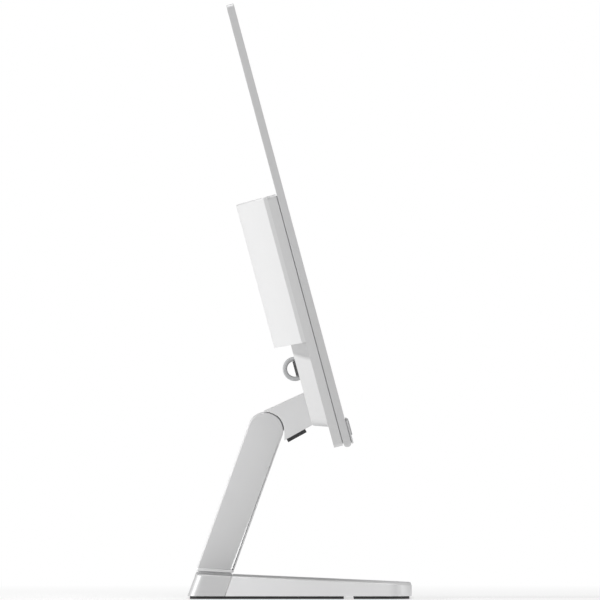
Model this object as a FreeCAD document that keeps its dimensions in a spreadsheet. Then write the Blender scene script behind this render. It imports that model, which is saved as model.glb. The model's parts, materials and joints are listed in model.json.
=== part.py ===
import FreeCAD, Part
import os
import re
import Sketcher

# An all-in-one PC: a thin display with a compute box behind it, held by an arm on a tilting knee above a
# leaning leg and a wedge-shaped base. Millimetres, +Z up. The front of the screen faces -Y and the viewer's
# right is +X. The origin is on the floor under the middle of the base.
#
# Three frames are used. "world" is the model's own frame. "head" leans back with the display: y runs rearward
# from the face of the glass frame and z runs up the display. "leg" lies along the leg: z runs up it to the
# knee's axis and y runs rearward across it.

os.makedirs("parts", exist_ok=True)
doc = FreeCAD.newDocument("AllInOnePC")
sheet = doc.addObject("Spreadsheet::Sheet", "Sizes")

SIZES = [
    # the knee, and how the head and the leg hang on it
    ("tilt_angle", 15, "how far the display leans back"),
    ("leg_lean", 19.8, "how far the leg leans forward"),
    ("foot_y", 70.567, "leg's lower end, behind the middle of the base"),
    ("foot_rise", 24.79, "leg's lower end, above the floor"),
    ("leg_length", 123.3, "knee axis to the leg's lower end"),
    ("knee_y", "=foot_y - leg_length * sin(leg_lean)", "knee axis, from the middle of the base"),
    ("knee_z", "=foot_rise + leg_length * cos(leg_lean)", "knee axis, above the floor"),
    ("knee_radius", 15, "round end of the leg"),
    ("knee_depth", 66.8, "knee axis behind the display's front"),
    ("knee_height", 27.8, "knee axis above the display's lower line"),
    ("knee_gap", 0.8, "air around the knee"),
    ("edge_round", 1.2, "rounding of outer metal edges"),
    ("pin_radius", 6, "hinge shaft"),
    ("pin_play", 0.05, "running clearance on the shaft"),
    ("barrel_half", 40.2, "half the length of the arm's barrel"),
    ("cap_wall", 5, "solid end of each leg knuckle"),
    ("forward_turn", 20, "how far the head tips forward from rest"),
    # display front
    ("display_width", 612, "27 inch class"),
    ("display_top", 378, "top edge"),
    ("display_bottom", -2.3, "bottom edge"),
    ("frame_depth", 6.4, "thickness of the thin front layer"),
    ("frame_rim", 1.2, "rim around the glass"),
    ("frame_back", 1.2, "back wall"),
    ("frame_corner", 4, "corner radius"),
    ("frame_round", 2.9, "rounding along the bottom edge"),
    ("chin_top", 19.1, "top of the chin plate"),
    ("chin_bottom", -0.5, "bottom of the chin plate"),
    ("chin_out", 1.9, "how far the chin plate stands out"),
    ("chin_tape", 0.6, "dark tape behind the chin plate"),
    ("chin_side", 1, "chin plate in from the display's side"),
    ("chin_corner", 1.2, "chin plate's corners"),
    ("chin_edge", 0.4, "rounding of the chin plate's front"),
    ("chin_seam", 0.3, "gap between the chin plate and the glass's opening"),
    ("grille_low", 6.6, "speaker strip"),
    ("grille_high", 18.2, "speaker strip"),
    ("grille_out", 0.85, "speaker strip above the chin plate"),
    ("grille_side", 8, "speaker strip in from the display's side"),
    ("grille_corner", 2, "speaker strip's corners"),
    ("grille_edge", 0.3, "rounding of the speaker strip's front"),
    ("fit_gap", 0.1, "glass to rim"),
    ("glass_thick", 1.1, "cover glass"),
    ("cell_thick", 1.2, "liquid crystal cell"),
    ("light_thick", 2, "light guide and films"),
    ("cell_bottom", 31, "lower edge of the cell"),
    ("cell_top", 370.6, "upper edge of the cell"),
    ("cell_side", 4, "cell in from the display's side"),
    # rear cover
    ("seam_gap", 0.8, "dark seam behind the front layer"),
    ("seam_inset", 1.5, "gasket in from the cover's edge"),
    ("gasket_width", 4, "gasket"),
    ("cover_side", 1.2, "rear cover in from the display's side"),
    ("cover_depth", 7.6, "depth of the cover's flat layer"),
    ("cover_back", "=frame_depth + seam_gap + cover_depth", "rear face of the cover's flat layer"),
    ("cover_top", 216, "top of the rear cover"),
    ("cover_wall", 2, "wall of the covers"),
    ("bulge_depth", 12.7, "depth of the bulge"),
    ("bulge_back", "=cover_back + bulge_depth", "rear face of the bulge"),
    ("bulge_low_front", 17.8, "bulge's lower edge at the flat layer"),
    ("bulge_low_back", 22.2, "bulge's lower edge at its rear face"),
    ("bulge_half_front", 262, "half the bulge's width at the flat layer"),
    ("bulge_half_back", 246, "half the bulge's width at its rear face"),
    ("bulge_hollow_half", 240, "half the width of the room in the bulge"),
    ("bulge_hollow_low", 25, "floor of the room in the bulge"),
    ("bulge_gap", 0.2, "seam between bulge and box"),
    ("bulge_corner", 12, "bulge's lower corners"),
    ("bulge_round", 2, "bulge's rear edges"),
    # compute box
    ("tray_thick", 1, "board tray"),
    ("standoff", 3.2, "mainboard above the tray"),
    ("board_thick", 1.6, "mainboard"),
    ("socket_depth", 14, "the deepest socket on the mainboard"),
    ("box_spare", 4.8, "air between that socket and the box's rear wall"),
    ("board_back", "=cover_back + tray_thick + standoff + board_thick", "rear face of the mainboard"),
    ("box_back", "=board_back + socket_depth + box_spare + cover_wall", "rear face of the compute box"),
    ("box_low_front", 90.6, "underside at the flat layer"),
    ("box_low_back", 92.7, "underside at the rear face"),
    ("box_wall", 3.3, "straight part of the box's side"),
    ("box_wall_back", "=cover_back + box_wall", "where the straight side ends"),
    ("box_taper", 48, "width of the curved side"),
    ("box_curve", 61.1, "radius of the curved side"),
    ("box_floor", 2.5, "box floor above the underside's rear line"),
    ("window_side", 8, "window between cover and box, in from the side"),
    ("vent_width", 2.4, "vent slot"),
    ("vent_length", 13, "vent slot"),
    ("vent_pitch", 6, "vent slots, one to the next"),
    ("vent_count", 60, "vent slots"),
    # arm
    ("arm_half", 75, "half the arm's and the leg's width"),
    ("arm_top_angle", 9.6, "top line above the display's square"),
    ("arm_low_angle", 13.8, "lower line above the display's square"),
    ("arm_wall", 2.5, "arm shell"),
    ("beam_thick", 14, "beam of the arm casting"),
    ("beam_half", 36, "half the beam's width"),
    ("beam_rise", 11.3, "beam's rise towards the display"),
    ("beam_play", 1.2, "beam to the bulge's window"),
    ("plate_thick", 3, "mount plate"),
    ("plate_half", 68, "half the mount plate's width"),
    ("plate_low", 26, "mount plate"),
    ("plate_high", 84, "mount plate"),
    ("bolt_x", 24, "mount screws, from the middle"),
    ("bolt_radius", 2.5, "mount screws"),
    ("bolt_head", 4.5, "mount screw heads"),
    ("bolt_depth", 9, "mount screws into the beam"),
    ("latch_half", 30, "half the release bar's width"),
    ("latch_start", 12, "release bar, along the arm from the knee"),
    ("latch_length", 17.6, "release bar"),
    ("latch_out", 3.2, "release bar below the arm"),
    ("latch_play", 0.4, "release bar to its slot"),
    ("latch_flange", 1.2, "flange that keeps the release bar in"),
    # leg
    ("leg_corner", 1.2, "rounding of the leg's rear edges"),
    ("foot_slope", 16.3, "slope of the leg's lower end"),
    ("cover_plate", 1, "thin front cover of the leg"),
    ("cover_seam", 0.4, "dark seam behind the front cover"),
    ("cover_start", 8, "front cover's upper end below the axis"),
    ("leg_wall", 2.5, "leg shell"),
    ("leg_solid", 20, "solid part of the leg below the axis"),
    ("spine_thick", 5, "leg spine"),
    ("spine_half", 60, "half the leg spine's width"),
    ("collar_height", 2.7, "light collar"),
    ("neck_height", 2.7, "dark neck under the collar"),
    ("neck_inset", 1, "neck in from the leg"),
    # base
    ("base_half", 120, "half the base's width"),
    ("base_front", -93.9, "front of the base"),
    ("base_nose", 12, "height of the base's front edge"),
    ("base_back", 18.75, "height of the wedge's rear edge"),
    ("base_corner", 20, "front corners in plan"),
    ("foot_corner", 9, "rear corners in plan"),
    ("base_wall", 3, "base shell"),
    ("foot_seam", 0.4, "seam between wedge and foot block"),
    ("foot_gap", 0.2, "play around the underplate in the foot block"),
    ("foot_thick", 14.3, "foot block behind the leg's middle"),
    ("pad_height", 2.25, "rubber sole"),
    ("pad_inset", 2, "rubber sole in from the base's edge"),
    ("pad_round", 2, "corners of the sole at its break"),
    ("pad_break_front", -45.3, "break in the sole"),
    ("pad_break_rear", -37, "break in the sole"),
    ("under_thick", 1.5, "steel underplate"),
    ("weight_thick", 4, "steel weight"),
    ("weight_inset", 8, "weight in from the base's edge"),
    ("foot_screw_x", 70, "foot screws"),
    ("foot_screw_y", 76, "foot screws"),
    ("foot_screw_radius", 3, "foot screws"),
    ("foot_screw_length", 9, "foot screws into the block"),
    # compute parts
    ("board_left", -60, "mainboard"),
    ("board_right", 205, "mainboard"),
    ("board_low", 101, "mainboard"),
    ("board_high", 206, "mainboard"),
    ("fan_x", -135, "blower's axis"),
    ("fan_z", 152, "blower's axis"),
    ("fan_radius", 34, "impeller"),
    ("fan_hub", 13, "impeller hub"),
    ("fan_post", 3, "blower's shaft"),
    ("fan_room", 3, "impeller to its housing"),
    ("fan_air", 8.6, "air and pipe between the blower housing and the box's rear wall"),
    ("impeller_gap", 0.8, "impeller to the housing's walls"),
    ("fan_foot", 16, "blower housing below the box's top wall"),
    ("fan_corner", 20, "blower housing's lower corners"),
    ("fan_intake", 24.5, "blower housing's round intake"),
    ("blade_thick", 0.8, "impeller's disc and blades"),
    ("blade_sweep", 5.5, "how far a blade's tip trails its root"),
    ("fin_pitch", 3, "cooling fins, one to the next"),
    ("fin_thick", 1, "cooling fin"),
    ("fin_count", 24, "gaps between the cooling fins"),
    ("fin_air", 3, "cooling fins below the box's top wall"),
    ("fan_wall", 1.5, "blower housing"),
    ("fan_blades", 21, "impeller blades"),
    ("port_play", 0.15, "port to the port plate"),
    ("port_wall", 0.8, "port shells"),
    ("port_low", 95.4, "mouths of the ports"),
    ("port_bay_low", 18, "opening for the ports"),
    ("port_bay_high", 180, "opening for the ports"),
    ("port_bay_margin", 1.5, "opening beyond the board's face and the deepest socket"),
    ("pipe_thick", 3.2, "heat pipe"),
    ("pipe_half", 4, "half the heat pipe's width"),
    ("plate_rise", 4, "processor plate above the mainboard"),
    ("port_plate", 1, "port plate"),
    ("port_end", 2, "closed end of a socket"),
    ("jack_bore", 1.8, "audio socket's bore"),
    ("inlet_bore", 3.3, "power inlet's bore"),
    ("inlet_pin", 0.8, "power inlet's pin"),
    ("plug_half", 5.9, "half the network socket's opening"),
    ("plug_floor", 2.5, "network socket's opening above the board"),
    ("plug_deep", 8.3, "network socket's opening"),
    # speakers and driver board
    ("speaker_start", 100, "speaker, from the middle"),
    ("speaker_gap", 6, "speaker to the end of the bulge's room"),
    ("speaker_low", 30, "speaker"),
    ("speaker_high", 82, "speaker"),
    ("driver_half", 85, "half the driver board's width"),
    ("driver_low", 32, "driver board"),
    ("driver_high", 80, "driver board"),
    # buttons and shutter
    ("button_x", 250, "power button"),
    ("button_half", 6, "power button"),
    ("button_thick", 3.2, "power button"),
    ("button_out", 0.6, "power button below the cover"),
    ("button_play", 0.4, "power button to its hole"),
    ("button_flange", 1.5, "flange that keeps the button in, at its ends"),
    ("button_lip", 0.3, "the same along its sides"),
    ("shutter_travel", 8, "camera shutter"),
    ("shutter_half", 4, "half the shutter's width"),
    ("shutter_play", 0.3, "shutter knob to its slot"),
    ("shutter_front", 2.2, "shutter behind the display's front"),
    ("shutter_knob", 1.6, "shutter knob's depth"),
    ("shutter_blade", 0.4, "shutter blade"),
    ("camera_low", 371.2, "camera board"),
    ("camera_high", 375.2, "camera board"),
    ("camera_half", 28, "half the camera board's width"),
    ("camera_front", 3, "camera board behind the display's front"),
    # cable loop
    ("loop_low", 60.8, "cable loop"),
    ("loop_high", 81.4, "cable loop"),
    ("loop_out", 12.3, "cable loop behind the bulge"),
    ("loop_band", 3.7, "cable loop's band"),
    ("loop_half", 9, "half the loop's width"),
    ("loop_base", 2.5, "bar under the loop"),
    ("loop_base_gap", 0.2, "bar to the loop's inside"),
    ("loop_base_side", 3, "bar beyond the loop's band"),
]

for row, (alias, value, note) in enumerate(SIZES, start=1):
    sheet.set(f"A{row}", alias)
    sheet.set(f"B{row}", str(value))
    sheet.set(f"C{row}", note)
    sheet.setAlias(f"B{row}", alias)
doc.recompute()

ALIASES = {alias for alias, value, note in SIZES}

# What follows from the driving sizes is written as text over the sheet's aliases.
DISPLAY_Y = "(knee_y - knee_depth * cos(tilt_angle) - knee_height * sin(tilt_angle))"
DISPLAY_Z = "(knee_z + knee_depth * sin(tilt_angle) - knee_height * cos(tilt_angle))"
DISPLAY_HALF = "(display_width / 2)"
GLASS_BACK = "(fit_gap + glass_thick)"
CELL_BACK = f"({GLASS_BACK} + cell_thick)"
LIGHT_BACK = f"({CELL_BACK} + light_thick)"
COVER_FRONT = "(frame_depth + seam_gap)"
COVER_HALF = f"({DISPLAY_HALF} - cover_side)"
COVER_INNER = "(cover_back - cover_wall)"
BULGE_INNER = "(bulge_back - cover_wall)"
BOX_INNER = "(box_back - cover_wall)"
BOX_FLOOR = "(box_low_back + box_floor)"
TRAY_BACK = "(cover_back + tray_thick)"
BOARD_FRONT = f"({TRAY_BACK} + standoff)"
ARM_TOP_Y = "(knee_depth + knee_radius * sin(arm_top_angle))"
ARM_TOP_Z = "(knee_height + knee_radius * cos(arm_top_angle))"
ARM_LOW_Y = "(knee_depth - knee_radius * sin(arm_low_angle))"
ARM_LOW_Z = "(knee_height - knee_radius * cos(arm_low_angle))"
# How far the leg leans in the head's frame with the head tipped fully forward.
LEG_FOLD = "(leg_lean + tilt_angle - forward_turn)"
SOLE_TOP = "pad_height"
UNDER_TOP = "(pad_height + under_thick)"

FRAMES = {
    "world": ("0", "0", "0"),
    "head": (DISPLAY_Y, DISPLAY_Z, "-tilt_angle"),
    "leg": ("knee_y", "knee_z", "leg_lean"),
}
PLANES = {"XY": ("XY_Plane", 1), "XZ": ("XZ_Plane", -1), "YZ": ("YZ_Plane", 1)}
nodes = []


def bound(text):
    """The expression for a text of aliases and numbers."""
    def owned(match):
        return "Sizes." + match.group() if match.group() in ALIASES else match.group()

    return re.sub(r"[a-z][a-z_]*", owned, text)


def number(text):
    """The value of such a text now."""
    value = sheet.evalExpression(bound(text))
    return float(getattr(value, "Value", value))


def place(item, frame, at=("0", "0", "0")):
    """Put an object's origin at a point of a frame, turned with the frame."""
    base_y, base_z, angle = FRAMES[frame]
    across, deep, high = at
    if frame != "world":
        item.Placement = FreeCAD.Placement(FreeCAD.Vector(), FreeCAD.Rotation(FreeCAD.Vector(1, 0, 0), 1))
        item.setExpression("Placement.Rotation.Angle", bound(angle))
    turned_y = f"{base_y} + ({deep}) * cos({angle}) - ({high}) * sin({angle})"
    turned_z = f"{base_z} + ({deep}) * sin({angle}) + ({high}) * cos({angle})"
    item.setExpression("Placement.Base.x", bound(across))
    item.setExpression("Placement.Base.y", bound(turned_y))
    item.setExpression("Placement.Base.z", bound(turned_z))


def keep(item, label):
    """Give a finished sub-part its label, and list it as a node."""
    item.Label = label
    nodes.append(item)
    return item


def block(x, y, z, frame="world", name="block"):
    """A box between pairs of coordinates of a frame."""
    item = doc.addObject("Part::Box", name)
    item.setExpression("Length", bound(f"({x[1]}) - ({x[0]})"))
    item.setExpression("Width", bound(f"({y[1]}) - ({y[0]})"))
    item.setExpression("Height", bound(f"({z[1]}) - ({z[0]})"))
    place(item, frame, (x[0], y[0], z[0]))
    return item


def rod(axis, at, radius, low, high, name="rod"):
    """A cylinder along an axis, through a point given by the other two coordinates."""
    item = doc.addObject("Part::Cylinder", name)
    item.setExpression("Radius", bound(radius))
    item.setExpression("Height", bound(f"({high}) - ({low})"))
    turn = {"x": (0, 1, 0, 90), "y": (1, 0, 0, -90), "z": (0, 0, 1, 0)}[axis]
    item.Placement = FreeCAD.Placement(FreeCAD.Vector(), FreeCAD.Rotation(FreeCAD.Vector(*turn[:3]), turn[3]))
    where = {"x": (low, *at), "y": (at[0], low, at[1]), "z": (*at, low)}[axis]
    for side, text in zip("xyz", where):
        item.setExpression(f"Placement.Base.{side}", bound(text))
    return item


def fuse(pieces, frame="world", name="fused"):
    """Join solids into one."""
    item = doc.addObject("Part::MultiFuse", name)
    item.Shapes = pieces
    place(item, frame)
    return item


def cut(base, tools, frame="world", name="cut"):
    """Take solids away from another."""
    item = doc.addObject("Part::Cut", name)
    item.Base = base
    item.Tool = tools[0] if len(tools) == 1 else fuse(tools, name=name + "_tools")
    place(item, frame)
    return item


def new_body(label, frame, is_node=True):
    """An empty body of a frame."""
    body = doc.addObject("PartDesign::Body", label)
    place(body, frame)
    return keep(body, label) if is_node else body


def draw(sketch, points, arcs):
    """Draw a closed outline whose corners, and whose arcs' radii, are bound to the sheet.

    arcs maps the number of a side to its radius; the centre lies on the left of the side.
    """
    corners = [FreeCAD.Vector(number(a), number(b), 0) for a, b in points]
    first = sketch.GeometryCount
    count = len(points)
    for side in range(count):
        start, end = corners[side], corners[(side + 1) % count]
        if side not in arcs:
            sketch.addGeometry(Part.LineSegment(start, end), False)
            continue
        radius = number(arcs[side])
        chord = end - start
        reach = max(radius ** 2 - chord.Length ** 2 / 4, 0) ** 0.5
        across = FreeCAD.Vector(-chord.y, chord.x, 0).normalize()
        centre = (start + end) * 0.5 + across * reach
        bow = (start + end) * 0.5 - centre
        crown = centre + bow.normalize() * radius
        sketch.addGeometry(Part.Arc(start, crown, end), False)
        place_radius = sketch.addConstraint(Sketcher.Constraint("Radius", first + side, radius))
        sketch.setExpression(f"Constraints[{place_radius}]", bound(arcs[side]))
    for side in range(count):
        after = first + (side + 1) % count
        sketch.addConstraint(Sketcher.Constraint("Coincident", first + side, 2, after, 1))
    for side, (across, along) in enumerate(points):
        corner = corners[side]
        for kind, text, value in (("DistanceX", across, corner.x), ("DistanceY", along, corner.y)):
            rule = Sketcher.Constraint(kind, -1, 1, first + side, 1, value)
            sketch.setExpression(f"Constraints[{sketch.addConstraint(rule)}]", bound(text))


def sketch_on(body, plane, offset, points, arcs=None):
    """A closed outline on one of the body's own planes, moved along its normal."""
    role = PLANES[plane][0]
    sketch = body.newObject("Sketcher::SketchObject", body.Name + "_sketch")
    origin_plane = next(item for item in body.Origin.OriginFeatures if item.Role == role)
    sketch.AttachmentSupport = (origin_plane, [""])
    sketch.MapMode = "FlatFace"
    sketch.setExpression("AttachmentOffset.Base.z", bound(offset))
    draw(sketch, points, arcs or {})
    return sketch


def rectangle(x, y):
    """The corners of a rectangle between two pairs."""
    return [(x[0], y[0]), (x[1], y[0]), (x[1], y[1]), (x[0], y[1])]


def disc(across, along, radius):
    """The four corners of a circle, and its quarter arcs."""
    points = [(f"{across} - ({radius})", along), (across, f"{along} - ({radius})"),
              (f"{across} + ({radius})", along), (across, f"{along} + ({radius})")]
    return points, {side: radius for side in range(4)}


def pad(body, plane, points, low, high, arcs=None):
    """Add the outline's prism between two coordinates along the plane's axis."""
    sketch = sketch_on(body, plane, low if PLANES[plane][1] > 0 else f"-({high})", points, arcs)
    feature = body.newObject("PartDesign::Pad", body.Name + "_pad")
    feature.Profile = (sketch, [""])
    feature.setExpression("Length", bound(f"({high}) - ({low})"))
    doc.recompute()
    return feature


def pocket(body, plane, points, low, high, arcs=None):
    """Cut the outline's prism between two coordinates along the plane's axis, and see that it cuts."""
    before = body.Tip.Shape.Volume
    sketch = sketch_on(body, plane, high if PLANES[plane][1] > 0 else f"-({low})", points, arcs)
    feature = body.newObject("PartDesign::Pocket", body.Name + "_pocket")
    feature.Profile = (sketch, [""])
    feature.setExpression("Length", bound(f"({high}) - ({low})"))
    doc.recompute()
    if feature.Shape.Volume >= before:
        raise RuntimeError(f"a pocket of {body.Label} cuts nothing")
    return feature


def row_of(body, feature, axis, pitch, count):
    """Repeat a feature along one of the body's axes."""
    pattern = body.newObject("PartDesign::LinearPattern", body.Name + "_row")
    pattern.Originals = [feature]
    line = next(item for item in body.Origin.OriginFeatures if item.Role == axis + "_Axis")
    pattern.Direction = (line, [""])
    pattern.setExpression("Length", bound(f"({pitch}) * ({count} - 1)"))
    pattern.setExpression("Occurrences", bound(count))
    body.Tip = pattern
    doc.recompute()
    return pattern


def middle(edge):
    """The point halfway along an edge."""
    return edge.valueAt((edge.FirstParameter + edge.LastParameter) / 2)


def runs_along(edge, axis):
    """Whether an edge is straight and parallel to an axis."""
    ends = edge.Vertexes
    if len(ends) < 2:
        return False
    way = ends[1].Point - ends[0].Point
    others = [abs(getattr(way, other)) for other in "xyz" if other != axis]
    return edge.Curve.TypeId == "Part::GeomLine" and max(others) < 0.001


def soften(body, radius, chosen, kind="Fillet"):
    """Round or bevel the edges of a body that a test picks."""
    base = body.Tip
    names = [f"Edge{index + 1}" for index, edge in enumerate(base.Shape.Edges) if chosen(edge)]
    if not names:
        raise RuntimeError(f"no edge of {body.Label} to soften")
    feature = body.newObject("PartDesign::" + kind, body.Name + "_" + kind.lower())
    feature.Base = (base, names)
    feature.setExpression("Radius" if kind == "Fillet" else "Size", bound(radius))
    doc.recompute()
    if "Invalid" in feature.State or feature.Shape.isNull():
        raise RuntimeError(f"the rounding of {body.Label} failed")
    return feature


# The base


def leg_line(across, height):
    """World y of a line along the leg, a distance behind its middle, at a height."""
    return f"(knee_y + ({across}) / cos(leg_lean) + (knee_z - ({height})) * tan(leg_lean))"


SOLE_REAR = leg_line("foot_thick", "pad_height")
WEDGE_LOW = f"({leg_line('-knee_radius', 'pad_height')} - foot_seam)"
WEDGE_HIGH = f"({leg_line('-knee_radius', 'base_back')} - foot_seam)"


def build_base():
    """Wedge shell, steel weight and underplate, and the two rubber soles."""
    wedge = new_body("base_shell", "world")
    outline = [
        ("base_front", SOLE_TOP),
        (WEDGE_LOW, SOLE_TOP),
        (WEDGE_HIGH, "base_back"),
        ("base_front", "base_nose"),
    ]
    pad(wedge, "YZ", outline, "-base_half", "base_half")
    front, rear = number("base_front"), number(WEDGE_HIGH)
    soften(wedge, "base_corner", lambda e: runs_along(e, "z") and abs(middle(e).y - front) < 0.01)
    high = number("base_nose") - 0.01
    soften(wedge, "edge_round", lambda e: middle(e).z > high and middle(e).y < rear - 1)
    room = [
        ("base_front + weight_inset", f"{SOLE_TOP} - 1"),
        (f"{WEDGE_LOW} - base_wall", f"{SOLE_TOP} - 1"),
        (f"{WEDGE_HIGH} - base_wall - 2", "base_back - base_wall"),
        ("base_front + weight_inset", "base_nose - base_wall"),
    ]
    pocket(wedge, "YZ", room, "-base_half + weight_inset * 2", "base_half - weight_inset * 2")
    way_out = rectangle(("base_front + weight_inset", f"{WEDGE_LOW} + 1"), (f"{SOLE_TOP} - 1", UNDER_TOP))
    pocket(wedge, "YZ", way_out, "-base_half + weight_inset * 2", "base_half - weight_inset * 2")

    sides = ("-base_half + weight_inset * 2", "base_half - weight_inset * 2")
    plate = new_body("base_underplate", "world")
    length = ("base_front + weight_inset", f"{SOLE_REAR} - weight_inset")
    pad(plate, "XY", rectangle(sides, length), SOLE_TOP, UNDER_TOP)
    for side in ("foot_screw_x", "-foot_screw_x"):
        points, arcs = disc(side, "foot_screw_y", "foot_screw_radius")
        pocket(plate, "XY", points, SOLE_TOP, UNDER_TOP, arcs)
    weight = new_body("base_weight", "world")
    length = ("base_front + weight_inset", f"{WEDGE_HIGH} - base_wall - 2")
    pad(weight, "XY", rectangle(sides, length), UNDER_TOP, f"{UNDER_TOP} + weight_thick")

    front_end, rear_end = "base_front + pad_inset", f"{SOLE_REAR} - pad_inset"
    soles = (
        ("base_pad_front", front_end, "pad_break_front", "base_corner - pad_inset", "pad_round"),
        ("base_pad_rear", "pad_break_rear", rear_end, "pad_round", "foot_corner - pad_inset"),
    )
    width = ("-base_half + pad_inset", "base_half - pad_inset")
    for label, low, high, nose_round, tail_round in soles:
        sole = new_body(label, "world")
        pad(sole, "XY", rectangle(width, (low, high)), "0", SOLE_TOP)
        for end, size in ((number(low), nose_round), (number(high), tail_round)):
            soften(sole, size, lambda e: runs_along(e, "z") and abs(middle(e).y - end) < 0.01)


def slope_at(across, below="0"):
    """The leg frame's z on the leg's sloping end, and a distance below it along the leg."""
    return f"(-leg_length - ({across}) * tan(foot_slope) - ({below}))"


def sole_at(across, above="0"):
    """The leg frame's z of a level plane, a distance above the sole."""
    return f"((pad_height + ({above}) - knee_z - ({across}) * sin(leg_lean)) / cos(leg_lean))"


def band(front, rear, above, below):
    """A sloping band of the leg's outline between two distances below the leg's end."""
    return [(front, slope_at(front, below)), (rear, slope_at(rear, below)), (rear, slope_at(rear, above)),
            (front, slope_at(front, above))]


def build_foot():
    """Foot block, its two screws, the dark neck and the light collar."""
    drop = "collar_height + neck_height"
    body = new_body("foot_block_solid", "leg", False)
    front, rear = "-knee_radius", "foot_thick"
    outline = [
        (front, sole_at(front)),
        (rear, sole_at(rear)),
        (rear, slope_at(rear, drop)),
        (front, slope_at(front, drop)),
    ]
    pad(body, "YZ", outline, "-base_half", "base_half")
    back, top = number(rear), number(slope_at(rear, drop)) - 0.01
    soften(body, "foot_corner", lambda e: runs_along(e, "z") and abs(middle(e).y - back) < 0.01)
    ahead = number(f"{front} + 1")
    soften(body, "edge_round", lambda e: middle(e).z > top and middle(e).y > ahead and not runs_along(e, "z"))
    inner = "foot_thick - (weight_inset - under_thick * tan(leg_lean) - foot_gap) * cos(leg_lean)"
    outside = "-knee_radius - 1"
    room = [
        (outside, sole_at(outside, "-1")),
        (inner, sole_at(inner, "-1")),
        (inner, sole_at(inner, "under_thick")),
        (outside, sole_at(outside, "under_thick")),
    ]
    room_half = "(base_half - weight_inset * 2 + foot_gap)"
    pocket(body, "YZ", room, f"-{room_half}", room_half)
    threads = [foot_screw(side, "foot_thread") for side in ("-foot_screw_x", "foot_screw_x")]
    keep(cut(body, threads, name="foot_block"), "foot_block")

    neck = new_body("leg_neck", "leg")
    pad(neck, "YZ", band("-knee_radius + neck_inset", "knee_radius - neck_inset - 1", "collar_height", drop),
        "-arm_half + neck_inset", "arm_half - neck_inset")
    collar = new_body("leg_collar", "leg")
    pad(collar, "YZ", band("-knee_radius", "knee_radius", "0", "collar_height"), "-arm_half", "arm_half")
    for ring in (neck, collar):
        soften(ring, "leg_corner", lambda e: runs_along(e, "z"))
        slit = band("-spine_thick / 2", "spine_thick / 2", "-1", f"{drop} + 1")
        pocket(ring, "YZ", slit, "-spine_half", "spine_half")


def foot_screw(side, name):
    """One of the screws that hold the underplate to the foot block."""
    tip = f"{UNDER_TOP} + foot_screw_length"
    return rod("z", (side, "foot_screw_y"), "foot_screw_radius", SOLE_TOP, tip, name)


def build_foot_screws():
    """The two foot screws."""
    keep(foot_screw("-foot_screw_x", "foot_screw_left"), "foot_screw_left")
    keep(foot_screw("foot_screw_x", "foot_screw_right"), "foot_screw_right")


# The leg and the hinge


def build_leg():
    """Leg shell with its two knuckles, steel spine, thin front cover with a dark seam, and hinge shaft."""
    shell = new_body("leg_shell", "leg")
    face = "-knee_radius + cover_plate + cover_seam"
    outline = [(face, slope_at(face)), ("knee_radius", slope_at("knee_radius")), ("knee_radius", "0"),
               ("-knee_radius", "0"), ("-knee_radius", "-cover_start"), (face, "-cover_start")]
    pad(shell, "YZ", outline, "-arm_half", "arm_half")
    points, arcs = disc("0", "0", "knee_radius")
    pad(shell, "YZ", points, "-arm_half", "arm_half", arcs)
    back = number("knee_radius")
    soften(shell, "leg_corner", lambda e: runs_along(e, "z") and abs(middle(e).y - back) < 0.01)
    room_front, room_back = f"{face} + leg_wall", "knee_radius - leg_wall"
    room = [(room_front, slope_at(room_front, "1")), (room_back, slope_at(room_back, "1")),
            (room_back, "-leg_solid"), (room_front, "-leg_solid")]
    pocket(shell, "YZ", room, "-arm_half + leg_wall", "arm_half - leg_wall")
    points, arcs = disc("0", "0", "knee_radius + knee_gap")
    pocket(shell, "YZ", points, "-barrel_half - knee_gap", "barrel_half + knee_gap", arcs)
    points, arcs = disc("0", "0", "pin_radius")
    pocket(shell, "YZ", points, "-arm_half + cap_wall", "arm_half - cap_wall", arcs)

    ends = ("-arm_half + cap_wall", "arm_half - cap_wall")
    keep(rod("x", ("knee_y", "knee_z"), "pin_radius", *ends, "hinge_shaft"), "hinge_shaft")

    spine = new_body("leg_spine", "leg")
    front, rear = "-spine_thick / 2", "spine_thick / 2"
    drop = "collar_height + neck_height"
    outline = [
        (front, slope_at(front, drop)),
        (rear, slope_at(rear, drop)),
        (rear, "-leg_solid"),
        (front, "-leg_solid"),
    ]
    pad(spine, "YZ", outline, "-spine_half", "spine_half")

    tape = new_body("leg_cover_tape", "leg")
    front, rear = "-knee_radius + cover_plate", face
    top = "-cover_start - 1"
    outline = [(front, slope_at(front, "-1")), (rear, slope_at(rear, "-1")), (rear, top), (front, top)]
    pad(tape, "YZ", outline, "-arm_half + 1", "arm_half - 1")
    cover = new_body("leg_front_cover", "leg")
    front, rear = "-knee_radius", "-knee_radius + cover_plate"
    top = "-cover_start - foot_gap"
    outline = [(front, slope_at(front)), (rear, slope_at(rear)), (rear, top), (front, top)]
    pad(cover, "YZ", outline, "-arm_half", "arm_half")


# The display's front


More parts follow.
